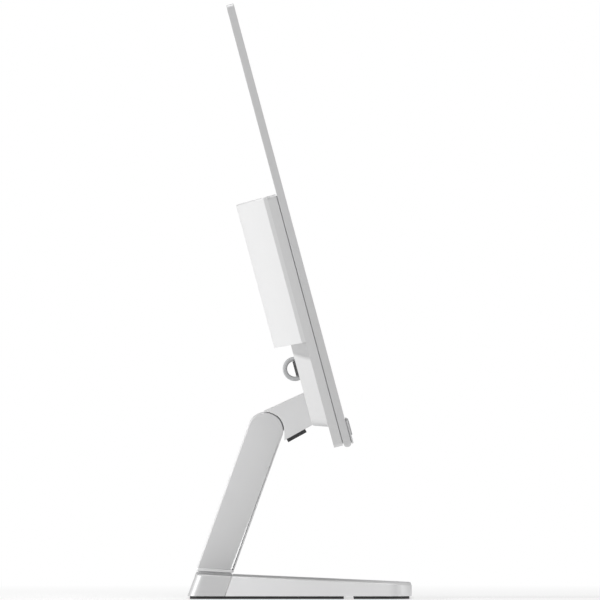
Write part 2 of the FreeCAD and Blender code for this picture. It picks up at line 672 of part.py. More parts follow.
def build_front():
    """Metal frame, cover glass, liquid crystal cell, light guide and steel chassis."""
    frame = new_body("front_frame", "head")
    sides = (f"-{DISPLAY_HALF}", DISPLAY_HALF)
    pad(frame, "XZ", rectangle(sides, ("display_bottom", "display_top")), "0", "frame_depth")
    soften(frame, "frame_corner", lambda e: runs_along(e, "y"))
    low, below, high = "display_bottom", "display_bottom - 1", "display_bottom + frame_round"
    front, rear, behind = "frame_round", "frame_depth - frame_round", "frame_depth + 1"
    front_waste = [("-1", below), ("-1", high), ("0", high), (front, low), (front, below)]
    rear_waste = [(behind, below), (rear, below), (rear, low), ("frame_depth", high), (behind, high)]
    for waste in (front_waste, rear_waste):
        pocket(frame, "YZ", waste, f"-{DISPLAY_HALF}", DISPLAY_HALF, {2: "frame_round"})
    room_x = (f"-{DISPLAY_HALF} + frame_rim", f"{DISPLAY_HALF} - frame_rim")
    room_z = ("chin_top + chin_seam", "display_top - frame_rim")
    pocket(frame, "XZ", rectangle(room_x, room_z), "0", "frame_depth - frame_back")
    slot_x = ("-shutter_half * 3 - shutter_play", "-shutter_half + shutter_travel + shutter_play")
    slot_y = ("shutter_front - shutter_play", "shutter_front + shutter_knob + shutter_play")
    pocket(frame, "XY", rectangle(slot_x, slot_y), "display_top - frame_rim - 0.1", "display_top + 0.1")

    glass_x = (f"-{DISPLAY_HALF} + frame_rim + fit_gap", f"{DISPLAY_HALF} - frame_rim - fit_gap")
    glass_z = ("chin_top + chin_seam + fit_gap", "display_top - frame_rim - fit_gap")
    keep(block(glass_x, ("fit_gap", GLASS_BACK), glass_z, "head", "front_glass"), "front_glass")
    cell_x = (f"-{DISPLAY_HALF} + cell_side", f"{DISPLAY_HALF} - cell_side")
    cell_z = ("cell_bottom", "cell_top")
    layers = (("lcd_cell", GLASS_BACK, CELL_BACK), ("backlight", CELL_BACK, LIGHT_BACK),
              ("panel_chassis", LIGHT_BACK, "(frame_depth - frame_back)"))
    for label, front, rear in layers:
        keep(block(cell_x, (front, rear), cell_z, "head", label), label)


def build_chin():
    """Chin plate on dark tape, with the speaker strip on its upper half."""
    sides = (f"-{DISPLAY_HALF} + chin_side", f"{DISPLAY_HALF} - chin_side")
    plate = new_body("chin_plate", "head")
    pad(plate, "XZ", rectangle(sides, ("chin_bottom", "chin_top")), "-chin_out", "-chin_tape")
    soften(plate, "chin_corner", lambda e: runs_along(e, "y"))
    soften(plate, "chin_edge", lambda e: abs(middle(e).y + number("chin_out")) < 0.01)
    tape_x = (f"-{DISPLAY_HALF} + chin_side + 1", f"{DISPLAY_HALF} - chin_side - 1")
    tape_z = ("chin_bottom + 1", "chin_top - 1")
    keep(block(tape_x, ("-chin_tape", "0"), tape_z, "head", "chin_tape"), "chin_tape")
    grille = new_body("speaker_grille", "head")
    grille_x = (f"-{DISPLAY_HALF} + grille_side", f"{DISPLAY_HALF} - grille_side")
    strip = rectangle(grille_x, ("grille_low", "grille_high"))
    pad(grille, "XZ", strip, "-chin_out - grille_out", "-chin_out")
    soften(grille, "grille_corner", lambda e: runs_along(e, "y"))
    soften(grille, "grille_edge", lambda e: abs(middle(e).y + number("chin_out + grille_out")) < 0.01)


def build_camera():
    """Camera board behind the glass and its sliding shutter with a flush knob."""
    depth = ("camera_front", "frame_depth - frame_back")
    width, rise = ("-camera_half", "camera_half"), ("camera_low", "camera_high")
    keep(block(width, depth, rise, "head", "camera_board"), "camera_board")
    side = ("-shutter_half * 3", "-shutter_half")
    back = "display_top - frame_rim"
    blade = block(side, ("shutter_front", "shutter_front + shutter_blade"), ("camera_low", f"{back} - 0.6"))
    knob = block(side, ("shutter_front", "shutter_front + shutter_knob"), (f"{back} - 1.2", "display_top"))
    keep(fuse([blade, knob], "head", "camera_shutter"), "camera_shutter")


# The rear cover and the compute box


def build_rear_cover():
    """Dark gasket in the seam, and the rear cover with its bulge."""
    gasket = new_body("seam_gasket", "head")
    outer = (f"-{COVER_HALF} + seam_inset", f"{COVER_HALF} - seam_inset")
    pad(gasket, "XZ", rectangle(outer, ("seam_inset", "cover_top - seam_inset")), "frame_depth", COVER_FRONT)
    inner = (f"-{COVER_HALF} + seam_inset + gasket_width", f"{COVER_HALF} - seam_inset - gasket_width")
    rise = ("seam_inset + gasket_width", "cover_top - seam_inset - gasket_width")
    pocket(gasket, "XZ", rectangle(inner, rise), "frame_depth", COVER_FRONT)

    cover = new_body("rear_cover", "head")
    pad(cover, "XZ", rectangle((f"-{COVER_HALF}", COVER_HALF), ("0", "cover_top")), COVER_FRONT, "cover_back")
    soften(cover, "frame_corner", lambda e: runs_along(e, "y"))
    slope = "(box_low_back - box_low_front) * bulge_depth / (box_back - cover_back)"
    bulge = [
        (COVER_INNER, "bulge_low_front"),
        ("cover_back", "bulge_low_front"),
        ("bulge_back", "bulge_low_back"),
        ("bulge_back", f"box_low_front + {slope} - bulge_gap"),
        ("cover_back", "box_low_front - bulge_gap"),
        (COVER_INNER, "box_low_front - bulge_gap"),
    ]
    pad(cover, "YZ", bulge, "-bulge_half_front", "bulge_half_front")
    beyond = "(bulge_half_back - (bulge_half_front - bulge_half_back) / bulge_depth)"
    for way in ("-", ""):
        corner = [
            (f"{way}bulge_half_front", "cover_back"),
            (f"{way}(bulge_half_front + 1)", "cover_back"),
            (f"{way}(bulge_half_front + 1)", "bulge_back + 1"),
            (f"{way}{beyond}", "bulge_back + 1"),
        ]
        pocket(cover, "XY", corner, "bulge_low_front - 1", "box_low_back")
    face, root = number("bulge_back"), number("cover_back")
    half_way, under_box = number("(bulge_low_front + box_low_front) / 2"), number("box_low_front") - 2
    soften(cover, "bulge_corner", lambda e: root + 1 < middle(e).y < face - 1 and middle(e).z < half_way)
    soften(cover, "bulge_round", lambda e: abs(middle(e).y - face) < 0.01 and middle(e).z < under_box)
    hollow = rectangle((f"-{COVER_HALF} + cover_wall", f"{COVER_HALF} - cover_wall"),
                       ("cover_wall", "cover_top - cover_wall"))
    pocket(cover, "XZ", hollow, COVER_FRONT, COVER_INNER)
    bulge_room = rectangle(("-bulge_hollow_half", "bulge_hollow_half"),
                           ("bulge_hollow_low", "box_low_front - cover_wall - bulge_gap"))
    pocket(cover, "XZ", bulge_room, COVER_FRONT, BULGE_INNER)
    window = rectangle((f"-{COVER_HALF} + window_side", f"{COVER_HALF} - window_side"),
                       (f"{BOX_FLOOR} + 2", "cover_top - cover_wall * 3"))
    pocket(cover, "XZ", window, COVER_INNER, "cover_back")
    low = beam_at("bulge_back", "-beam_thick / 2 - beam_play")
    high = beam_at("bulge_back", "beam_thick / 2 + beam_play")
    beam_hole = rectangle(("-beam_half - beam_play", "beam_half + beam_play"), (low, high))
    pocket(cover, "XZ", beam_hole, BULGE_INNER, "bulge_back")
    button = rectangle(("button_x - button_half - button_play", "button_x + button_half + button_play"),
                       (f"{BUTTON_FRONT} - button_play", f"{BUTTON_FRONT} + button_thick + button_play"))
    pocket(cover, "XY", button, "0", "cover_wall")


BUTTON_FRONT = f"({COVER_FRONT} + cover_wall / 2 + button_play)"


PORTS = (
    # label, middle across, width and depth of its shell, length up the board
    ("audio_port", "28", "7", "7", "12"),
    ("usb_c_port", "46", "9.2", "4", "9"),
    ("usb_port_1", "66", "14", "7", "14"),
    ("usb_port_2", "88", "14", "7", "14"),
    ("video_port", "113", "16", "6.2", "12"),
    ("network_port", "141", "16.4", "socket_depth", "18"),
    ("power_inlet", "168", "10", "11", "13"),
)
PORT_ROOM_X = ("port_bay_low", "port_bay_high")
PORT_ROOM_Y = ("board_back - port_bay_margin", "board_back + socket_depth + port_bay_margin")


def box_outline(wall):
    """Half-open plan of the compute box, a wall inside its outside, and its arcs."""
    half, back = f"({COVER_HALF} - ({wall}))", f"(box_back - ({wall}))"
    side = f"(box_wall_back - ({wall}) * 0.3)"
    flat = f"({COVER_HALF} - box_taper)"
    right = [(half, "cover_back"), (half, side), (flat, back)]
    points = [(f"-{half}", "cover_back"), *right, (f"-{flat}", back), (f"-{half}", side)]
    radius = f"(box_curve - ({wall}))"
    return points, {2: radius, 4: radius}


def build_box():
    """Compute box with curved sides, vent slots along its top, and the opening for the ports."""
    box = new_body("box_cover", "head")
    points, arcs = box_outline("0")
    pad(box, "XY", points, "box_low_front", "cover_top", arcs)
    under = [("cover_back - 1", "box_low_front - 1"), ("box_back + 1", "box_low_front - 1"),
             ("box_back + 1", "box_low_back + (box_low_back - box_low_front) / (box_back - cover_back)"),
             ("cover_back", "box_low_front"), ("cover_back - 1", "box_low_front")]
    pocket(box, "YZ", under, f"-{DISPLAY_HALF}", DISPLAY_HALF)
    top = number("cover_top")
    root = number("cover_back") + 0.1
    soften(box, "edge_round", lambda e: abs(middle(e).z - top) < 0.01 and middle(e).y > root)
    points, arcs = box_outline("cover_wall")
    pocket(box, "XY", points, BOX_FLOOR, "cover_top - cover_wall", arcs)
    first = "-vent_pitch * (vent_count - 1) / 2"
    vent_y = ("box_back - vent_pitch - vent_length", "box_back - vent_pitch")
    slot = rectangle((f"{first} - vent_width / 2", f"{first} + vent_width / 2"), vent_y)
    vents = pocket(box, "XY", slot, "cover_top - cover_wall", "cover_top")
    row_of(box, vents, "X", "vent_pitch", "vent_count")
    pocket(box, "XY", rectangle(PORT_ROOM_X, PORT_ROOM_Y), "box_low_front - 1", f"{BOX_FLOOR}")


# The arm


def beam_at(deep, across="0"):
    """The head frame's z on the arm's middle line, a distance above it, at a depth."""
    return f"(knee_height + (knee_depth - ({deep})) * tan(beam_rise) + ({across}) / cos(beam_rise))"


def along_low(along, out="0"):
    """A point on the arm's lower line, a distance from the knee's foot of it and a distance outward."""
    return (f"{ARM_LOW_Y} - ({along}) * cos(arm_low_angle) - ({out}) * sin(arm_low_angle)",
            f"{ARM_LOW_Z} + ({along}) * sin(arm_low_angle) - ({out}) * cos(arm_low_angle)")


def build_arm():
    """Arm shell hollowed around the casting, and the casting with its barrel on the hinge shaft."""
    shell = new_body("arm_shell", "head")
    root_high = f"({ARM_TOP_Z} + ({ARM_TOP_Y} - bulge_back) * tan(arm_top_angle))"
    root_low = f"({ARM_LOW_Z} + ({ARM_LOW_Y} - bulge_back) * tan(arm_low_angle))"
    outline = [
        ("bulge_back", root_low),
        (ARM_LOW_Y, ARM_LOW_Z),
        (ARM_TOP_Y, ARM_TOP_Z),
        ("bulge_back", root_high),
    ]
    pad(shell, "YZ", outline, "-arm_half", "arm_half")
    points, arcs = disc("knee_depth", "knee_height", "knee_radius + knee_gap")
    pocket(shell, "YZ", points, "-arm_half - 1", "arm_half + 1", arcs)
    nose = "(knee_radius + knee_gap)"
    turn, reach = LEG_FOLD, "3 * knee_radius"
    edge_y = f"knee_depth - {nose} * cos({turn})"
    edge_z = f"knee_height - {nose} * sin({turn})"
    relief = [("knee_depth", "knee_height"), (edge_y, edge_z),
              (f"{edge_y} + {reach} * sin({turn})", f"{edge_z} - {reach} * cos({turn})"),
              (f"knee_depth + {reach}", f"knee_height - {reach}")]
    pocket(shell, "YZ", relief, "-arm_half - 1", "arm_half + 1")
    low_in = along_low("0", "-arm_wall")
    high_in = (ARM_TOP_Y, f"{ARM_TOP_Z} - arm_wall / cos(arm_top_angle)")
    room = [("bulge_back", f"{root_low} + arm_wall / cos(arm_low_angle)"), low_in,
            high_in, ("bulge_back", f"{root_high} - arm_wall / cos(arm_top_angle)")]
    pocket(shell, "YZ", room, "-arm_half + arm_wall", "arm_half - arm_wall")
    play = "latch_play"
    slot = [along_low(f"latch_start - {play}", "1"), along_low(f"latch_start - {play}", "-arm_wall - 1"),
            along_low(f"latch_start + latch_length + {play}", "-arm_wall - 1"),
            along_low(f"latch_start + latch_length + {play}", "1")]
    pocket(shell, "YZ", slot, f"-latch_half - {play}", f"latch_half + {play}")

    latch = new_body("release_bar", "head")
    bar = [along_low("latch_start", "latch_out"), along_low("latch_start", "-arm_wall - latch_play"),
           along_low("latch_start + latch_length", "-arm_wall - latch_play"),
           along_low("latch_start + latch_length", "latch_out")]
    pad(latch, "YZ", bar, "-latch_half", "latch_half")
    rim, inner = "latch_play * 4", "-arm_wall - latch_play"
    flange = [along_low("latch_start + 1", inner), along_low("latch_start + 1", f"{inner} - latch_flange"),
              along_low(f"latch_start + latch_length + {rim}", f"{inner} - latch_flange"),
              along_low(f"latch_start + latch_length + {rim}", inner)]
    pad(latch, "YZ", flange, f"-latch_half - {rim}", f"latch_half + {rim}")

    casting = new_body("arm_casting", "head")
    points, arcs = disc("knee_depth", "knee_height", "knee_radius")
    pad(casting, "YZ", points, "-barrel_half", "barrel_half", arcs)
    beam = [
        (BULGE_INNER, beam_at(BULGE_INNER, "-beam_thick / 2")),
        ("knee_depth", beam_at("knee_depth", "-beam_thick / 2")),
        ("knee_depth", beam_at("knee_depth", "beam_thick / 2")),
        (BULGE_INNER, beam_at(BULGE_INNER, "beam_thick / 2")),
    ]
    pad(casting, "YZ", beam, "-beam_half", "beam_half")
    points, arcs = disc("knee_depth", "knee_height", "pin_radius + pin_play")
    pocket(casting, "YZ", points, "-barrel_half", "barrel_half", arcs)
    for side in ("-bolt_x", "bolt_x"):
        points, arcs = disc(side, BOLT_Z, "bolt_radius")
        pocket(casting, "XZ", points, BULGE_INNER, f"{BULGE_INNER} + bolt_depth", arcs)


BOLT_Z = f"(knee_height + (knee_depth - {BULGE_INNER}) * tan(beam_rise) - 1)"


def build_mount_plate():
    """Steel plate inside the bulge that clamps it to the arm casting with two screws."""
    front = f"({BULGE_INNER} - plate_thick)"
    plate = new_body("mount_plate", "head")
    outline = rectangle(("-plate_half", "plate_half"), ("plate_low", "plate_high"))
    pad(plate, "XZ", outline, front, BULGE_INNER)
    for side, label in (("-bolt_x", "mount_screw_left"), ("bolt_x", "mount_screw_right")):
        points, arcs = disc(side, BOLT_Z, "bolt_radius")
        pocket(plate, "XZ", points, front, BULGE_INNER, arcs)
        shank = rod("y", (side, BOLT_Z), "bolt_radius", front, f"{BULGE_INNER} + bolt_depth")
        head = rod("y", (side, BOLT_Z), "bolt_head", f"{front} - 2.5", front)
        keep(fuse([shank, head], "head", label), label)


# The computer in the box


# What is plugged into the mainboard: its left and right from the board's left edge, its top and bottom below
# the board's upper edge, and its height over the board's face.
ON_BOARD = (
    ("memory_module_1", ("170", "238"), ("4", "34"), "4"),
    ("memory_module_2", ("170", "238"), ("38", "68"), "4"),
    ("storage_drive", ("24", "104"), ("58", "80"), "3.4"),
    ("radio_card", ("4", "26"), ("86", "102"), "2.6"),
    ("processor_plate", ("58", "102"), ("6", "50"), "plate_rise"),
)


def build_board():
    """Steel tray, mainboard on its standoffs, and what is plugged into it."""
    left, right = f"-{COVER_HALF} + cover_wall + 1", f"{COVER_HALF} - cover_wall - 1"
    rise = (f"{BOX_FLOOR} + 0.5", "cover_top - cover_wall - 0.5")
    tray = block((left, right), ("cover_back", TRAY_BACK), rise)
    posts = []
    for across in ("board_left + 6", "(board_left + board_right) / 2", "board_right - 6"):
        for rise in ("board_low + 16", "board_high - 6"):
            posts.append(rod("y", (across, rise), "2.5", TRAY_BACK, BOARD_FRONT))
    keep(fuse([tray, *posts], "head", "board_tray"), "board_tray")
    width, rise = ("board_left", "board_right"), ("board_low", "board_high")
    keep(block(width, (BOARD_FRONT, "board_back"), rise, "head", "mainboard"), "mainboard")
    for label, (left, right), (low, high), height in ON_BOARD:
        x, y = (f"board_left + {left}", f"board_left + {right}"), ("board_back", f"board_back + {height}")
        z = (f"board_high - {high}", f"board_high - {low}")
        keep(block(x, y, z, "head", label), label)


def build_cooling():
    """Blower housing and impeller, fins over its outlet, and the heat pipe from the processor plate."""
    outer = "(fan_radius + fan_room + fan_wall)"
    left, right = f"fan_x - {outer}", f"fan_x + {outer}"
    back = f"({BOX_INNER} - fan_air)"
    top = "(cover_top - cover_wall - fan_foot)"
    housing = new_body("blower_housing", "head")
    pad(housing, "XZ", rectangle((left, right), (f"fan_z - {outer}", top)), TRAY_BACK, back)
    soften(housing, "fan_corner", lambda e: runs_along(e, "y") and middle(e).z < number("fan_z"))
    points, arcs = disc("fan_x", "fan_z", "fan_radius + fan_room")
    front, rear = f"{TRAY_BACK} + fan_wall", f"{back} - fan_wall"
    pocket(housing, "XZ", points, front, rear, arcs)
    outlet = rectangle((f"{left} + fan_wall", f"{right} - fan_wall"), ("fan_z", f"{top} + 1"))
    pocket(housing, "XZ", outlet, front, rear)
    points, arcs = disc("fan_x", "fan_z", "fan_intake")
    pocket(housing, "XZ", points, rear, back, arcs)
    points, arcs = disc("fan_x", "fan_z", "fan_post")
    pad(housing, "XZ", points, f"{TRAY_BACK} + fan_wall / 2", f"{rear} - 1", arcs)

    low, high = f"({front} + impeller_gap)", f"({rear} - impeller_gap)"
    impeller = new_body("blower_impeller", "head")
    points, arcs = disc("fan_x", "fan_z", "fan_hub")
    pad(impeller, "XZ", points, low, high, arcs)
    points, arcs = disc("fan_x", "fan_z", "fan_radius")
    pad(impeller, "XZ", points, low, f"{low} + blade_thick", arcs)
    points, arcs = disc("fan_x", "fan_z", "fan_post + pin_play")
    pocket(impeller, "XZ", points, low, high, arcs)
    root, tip = "fan_z + fan_hub - 1", "fan_z + fan_radius - 1.5"
    outline = [
        ("fan_x", root),
        ("fan_x + blade_thick", root),
        ("fan_x + blade_thick + blade_sweep", tip),
        ("fan_x + blade_sweep", tip),
    ]
    blade = pad(impeller, "XZ", outline, low, high)
    axis = impeller.newObject("PartDesign::Line", "fan_axis")
    axis.Placement = FreeCAD.Placement(FreeCAD.Vector(), FreeCAD.Rotation(FreeCAD.Vector(1, 0, 0), 90))
    axis.setExpression("Placement.Base.x", bound("fan_x"))
    axis.setExpression("Placement.Base.z", bound("fan_z"))
    spin = impeller.newObject("PartDesign::PolarPattern", "blades")
    spin.Originals = [blade]
    spin.Axis = (axis, [""])
    spin.Angle = 360
    spin.setExpression("Occurrences", bound("fan_blades"))
    impeller.Tip = spin
    doc.recompute()

    fins = new_body("fin_stack", "head")
    fin_z = (top, "cover_top - cover_wall - fin_air")
    pad(fins, "XZ", rectangle((f"{left} + 2", f"{right} - 2"), fin_z), TRAY_BACK, back)
    first_x = (f"{left} + 2 + fin_thick", f"{left} + 2 + fin_pitch")
    gap = pocket(fins, "XY", rectangle(first_x, (f"{TRAY_BACK} + 1", f"{back} - pipe_half")), *fin_z)
    row_of(fins, gap, "X", "fin_pitch", "fin_count")

    pipe_z = f"({top} + pipe_half + 1)"
    over_plate = ("board_left + 62", "board_left + 98")
    depth = (back, f"{back} + pipe_thick")
    across = block((f"{left} + 6", over_plate[1]), depth, (f"{pipe_z} - pipe_half", f"{pipe_z} + pipe_half"))
    drop = block(over_plate, depth, ("board_high - 46", f"{pipe_z} + pipe_half"))
    foot = block(over_plate, ("board_back + plate_rise", back), ("board_high - 46", "board_high - 10"))
    keep(fuse([across, drop, foot], "head", "heat_pipe"), "heat_pipe")


def build_ports():
    """Sockets along the board's lower edge, and the plate that they look out through."""
    plate = new_body("port_plate", "head")
    across = (f"{PORT_ROOM_X[0]} - 4", f"{PORT_ROOM_X[1]} + 4")
    deep = (f"{PORT_ROOM_Y[0]} - 2", f"{PORT_ROOM_Y[1]} + 2")
    outside = f"{BOX_FLOOR} + port_plate"
    pad(plate, "XY", rectangle(across, deep), BOX_FLOOR, outside)
    for label, at, width, depth, length in PORTS:
        x = (f"{at} - {width} / 2", f"{at} + {width} / 2")
        y = ("board_back", f"board_back + {depth}")
        hole_x = (f"{x[0]} - port_play", f"{x[1]} + port_play")
        hole_y = (f"{y[0]} - port_play", f"{y[1]} + port_play")
        pocket(plate, "XY", rectangle(hole_x, hole_y), BOX_FLOOR, outside)
        port = new_body(label, "head")
        end = f"port_low + {length}"
        pad(port, "XY", rectangle(x, y), "port_low", end)
        centre = f"(board_back + {depth} / 2)"
        if label in ("audio_port", "power_inlet"):
            points, arcs = disc(at, centre, "jack_bore" if label == "audio_port" else "inlet_bore")
            pocket(port, "XY", points, "port_low", f"{end} - port_end", arcs)
            if label == "power_inlet":
                points, arcs = disc(at, centre, "inlet_pin")
                pad(port, "XY", points, "port_low + 1", f"{end} - port_end + 1", arcs)
            continue
        if label == "network_port":
            room_x = (f"{at} - plug_half", f"{at} + plug_half")
            room_y = (f"{y[0]} + plug_floor", f"{y[0]} + plug_floor + plug_deep")
            pocket(port, "XY", rectangle(room_x, room_y), "port_low", f"{end} - port_end")
            continue
        room_x = (f"{x[0]} + port_wall", f"{x[1]} - port_wall")
        room_y = (f"{y[0]} + port_wall", f"{y[1]} - port_wall")
        pocket(port, "XY", rectangle(room_x, room_y), "port_low", f"{end} - port_end")
        tongue = rectangle((f"{room_x[0]} + 1", f"{room_x[1]} - 1"), (f"{centre} - 0.5", f"{centre} + 0.5"))
        pad(port, "XY", tongue, "port_low + 1", f"{end} - port_end + 1")


def build_small_parts():
    """Speakers, panel driver board, power button, and the cable loop on its dark bar."""
    inner, outer = "speaker_start", "(bulge_hollow_half - speaker_gap)"
    depth, rise = (f"{COVER_FRONT} + 1", BULGE_INNER), ("speaker_low", "speaker_high")
    for label, across in (("speaker_left", (f"-{outer}", f"-{inner}")), ("speaker_right", (inner, outer))):
        keep(block(across, depth, rise, "head", label), label)
    width, depth = ("-driver_half", "driver_half"), ("frame_depth", "frame_depth + board_thick")
    keep(block(width, depth, ("driver_low", "driver_high"), "head", "driver_board"), "driver_board")

    rim = "cover_wall + button_play"
    across = ("button_x - button_half", "button_x + button_half")
    depth = (BUTTON_FRONT, f"{BUTTON_FRONT} + button_thick")
    stem = block(across, depth, ("-button_out", rim))
    wider = (f"{across[0]} - button_flange", f"{across[1]} + button_flange")
    deeper = (f"{BUTTON_FRONT} - button_lip", f"{depth[1]} + button_lip")
    flange = block(wider, deeper, (rim, f"{rim} + 1"))
    keep(fuse([stem, flange], "head", "power_button"), "power_button")

    middle_z, radius = "((loop_high + loop_low) / 2)", "((loop_high - loop_low) / 2)"
    centre_y = f"(bulge_back + loop_out - {radius})"
    loop = new_body("cable_loop", "head")
    points, arcs = disc(centre_y, middle_z, radius)
    pad(loop, "YZ", points, "-loop_half", "loop_half", arcs)
    points, arcs = disc(centre_y, middle_z, f"{radius} - loop_band")
    pocket(loop, "YZ", points, "-loop_half", "loop_half", arcs)
    spare_y = (f"bulge_back - 2 * {radius}", "bulge_back")
    spare_z = (f"loop_low - {radius}", f"loop_high + {radius}")
    pocket(loop, "YZ", rectangle(spare_y, spare_z), "-loop_half", "loop_half")
    reach = f"({radius} - loop_band - loop_base_gap)"
    bar_z = (f"{middle_z} - {reach}", f"{middle_z} + {reach}")
    bar_x = ("-loop_half - loop_base_side", "loop_half + loop_base_side")
    keep(block(bar_x, ("bulge_back", "bulge_back + loop_base"), bar_z, "head", "loop_base"), "loop_base")


def write_parts():
    """See that every object is sound, then write each sub-part to its own file."""
    doc.recompute()
    for item in doc.Objects:
        if "Invalid" in item.State or "Error" in item.State:
            raise RuntimeError(f"{item.Label} failed: {item.State}")
    for item in nodes:
        if item.Shape.isNull() or not item.Shape.isValid() or not item.Shape.Solids:
            raise RuntimeError(f"{item.Label} has no sound shape")
    for item in nodes:
        item.Shape.exportStep(f"parts/{item.Label}.step")
    print(f"{len(nodes)} parts written")


build_base()
build_foot()
build_foot_screws()
build_leg()
build_front()
build_chin()
build_camera()
build_rear_cover()
build_box()
build_arm()
build_mount_plate()
build_board()
build_cooling()
build_ports()
build_small_parts()
write_parts()
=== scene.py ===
import json
import math

import bmesh
import bpy
import numpy as np
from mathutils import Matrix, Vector


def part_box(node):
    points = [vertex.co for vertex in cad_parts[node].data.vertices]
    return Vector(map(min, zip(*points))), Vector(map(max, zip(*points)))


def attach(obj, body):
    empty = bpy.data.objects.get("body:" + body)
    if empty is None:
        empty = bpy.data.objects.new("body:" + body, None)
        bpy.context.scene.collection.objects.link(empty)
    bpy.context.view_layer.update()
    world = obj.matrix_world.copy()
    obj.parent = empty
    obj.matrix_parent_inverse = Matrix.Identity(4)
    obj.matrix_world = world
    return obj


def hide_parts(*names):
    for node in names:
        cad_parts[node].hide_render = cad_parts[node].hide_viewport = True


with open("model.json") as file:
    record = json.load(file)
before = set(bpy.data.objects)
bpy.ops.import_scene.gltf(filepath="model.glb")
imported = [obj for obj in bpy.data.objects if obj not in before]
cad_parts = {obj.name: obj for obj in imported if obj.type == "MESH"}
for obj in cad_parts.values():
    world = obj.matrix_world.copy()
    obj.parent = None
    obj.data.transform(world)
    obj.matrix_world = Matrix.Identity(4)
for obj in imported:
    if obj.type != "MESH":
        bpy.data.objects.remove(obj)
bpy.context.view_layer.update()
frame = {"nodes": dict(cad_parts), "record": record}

record = frame["record"]
nodes = frame["nodes"]
joints = {joint["name"]: joint for joint in record["behaviour"]["joints"]}

# ---------------------------------------------------------------------------------------------
# Materials
# ---------------------------------------------------------------------------------------------


class Finish:
    """A node material under construction, with short ways to add and join its nodes."""

    def __init__(self, name, colour, roughness, metallic=0.0, **sockets):
        self.material = bpy.data.materials.new(name)
        self.material.use_nodes = True
        self.tree = self.material.node_tree
        self.shader = self.tree.nodes["Principled BSDF"]
        self.shader.inputs["Base Color"].default_value = (*colour, 1)
        self.shader.inputs["Roughness"].default_value = roughness
        self.shader.inputs["Metallic"].default_value = metallic
        for socket, value in sockets.items():
            self.shader.inputs[socket.replace("_", " ")].default_value = value
        self.place = self.add("ShaderNodeTexCoord").outputs["Object"]

    def add(self, kind, **settings):
        """Add a node. Settings are its properties, or its inputs where a property has no such name."""
        node = self.tree.nodes.new(kind)
        for key, value in settings.items():
            if hasattr(node, key):
                setattr(node, key, value)
            else:
                node.inputs[key.replace("_", " ")].default_value = value
        return node

    def join(self, source, target):
        """Join an output to an input."""
        self.tree.links.new(source, target)

    def stretched(self, x, y, z, turn=(0, 0, 0)):
        """Object coordinates scaled along each axis, in repeats to the metre."""
        mapping = self.add("ShaderNodeMapping")
        mapping.inputs["Scale"].default_value = (x, y, z)
        mapping.inputs["Rotation"].default_value = turn
        self.join(self.place, mapping.inputs["Vector"])
        return mapping.outputs["Vector"]

    def noise(self, scale, detail=2.0, vector=None):
        """Noise with a number of waves to the metre."""
        node = self.add("ShaderNodeTexNoise", Scale=scale, Detail=detail)
        self.join(vector or self.place, node.inputs["Vector"])
        return node.outputs["Fac"]

    def spread(self, value, low, high, out_low, out_high):
        """A value's range moved to another range."""
        node = self.add("ShaderNodeMapRange")
        limits = {"From Min": low, "From Max": high, "To Min": out_low, "To Max": out_high}
        for name, number in limits.items():
            node.inputs[name].default_value = number
        self.join(value, node.inputs["Value"])
        return node.outputs["Result"]

    def shade(self, value, dark, light):
        """Base colour between two tones."""
        ramp = self.add("ShaderNodeValToRGB")
        ramp.color_ramp.elements[0].color = (*dark, 1)
        ramp.color_ramp.elements[1].color = (*light, 1)
        self.join(value, ramp.inputs["Fac"])
        self.join(ramp.outputs["Color"], self.shader.inputs["Base Color"])

    def rough(self, value, low, high):
        """Roughness that follows a value."""
        self.join(self.spread(value, 0.3, 0.7, low, high), self.shader.inputs["Roughness"])

    def bump(self, height, depth, strength=1.0):
        """Surface relief of a depth in metres, over any relief that is already there."""
        node = self.add("ShaderNodeBump", Distance=depth, Strength=strength)
        self.join(height, node.inputs["Height"])
        before = self.shader.inputs["Normal"].links
        if before:
            self.join(before[0].from_socket, node.inputs["Normal"])
        self.join(node.outputs["Normal"], self.shader.inputs["Normal"])


def blasted_metal(name, tone, metallic=0.25, roughness=0.48):
    """Fine bead-blasted and anodised aluminium."""
    finish = Finish(name, (tone, tone, tone * 1.01), roughness, metallic)
    cloud = finish.noise(14, 3)
    light = (tone * 1.01, tone * 1.01, tone * 1.018)
    finish.shade(finish.spread(cloud, 0.3, 0.7, 0, 1), (tone * 0.985,) * 3, light)
    finish.rough(finish.noise(60, 2), roughness - 0.03, roughness + 0.04)
    finish.bump(finish.noise(5200, 2), 0.000012, 0.35)
    return finish.material


def satin_paint(name, tone, roughness=0.44):
    """Silver paint with a very fine flake and a faint orange peel."""
    finish = Finish(name, (tone, tone, tone * 1.01), roughness, 0.15, Coat_Weight=0.08, Coat_Roughness=0.3)
    flake = finish.noise(3600, 1)
    light = (tone * 1.015, tone * 1.015, tone * 1.02)
    finish.shade(finish.spread(flake, 0.3, 0.7, 0, 1), (tone * 0.975,) * 3, light)
    finish.rough(finish.noise(40, 2), roughness - 0.03, roughness + 0.03)
    finish.bump(finish.noise(900, 2), 0.00001, 0.25)
    return finish.material


def moulded_plastic(name, colour, roughness=0.6):
    """Fine-grained moulded plastic."""
    finish = Finish(name, colour, roughness)
    light = tuple(min(1, value * 1.18 + 0.004) for value in colour)
    finish.shade(finish.spread(finish.noise(30, 3), 0.3, 0.7, 0, 1), colour, light)
    finish.rough(finish.noise(300, 2), roughness - 0.06, roughness + 0.06)
    finish.bump(finish.noise(2400, 3), 0.00004, 0.5)
    return finish.material


def ribbed_rubber(name, colour):
    """Matt rubber with fine ribs across."""
    finish = Finish(name, colour, 0.85)
    wave = finish.add("ShaderNodeTexWave", Scale=160, Distortion=0.0)
    finish.join(finish.place, wave.inputs["Vector"])
    light = tuple(value * 1.4 for value in colour)
    finish.shade(finish.spread(finish.noise(50, 4), 0.3, 0.7, 0, 1), colour, light)
    finish.bump(wave.outputs["Fac"], 0.00015, 0.5)
    finish.bump(finish.noise(2600, 2), 0.00004, 0.5)
    return finish.material


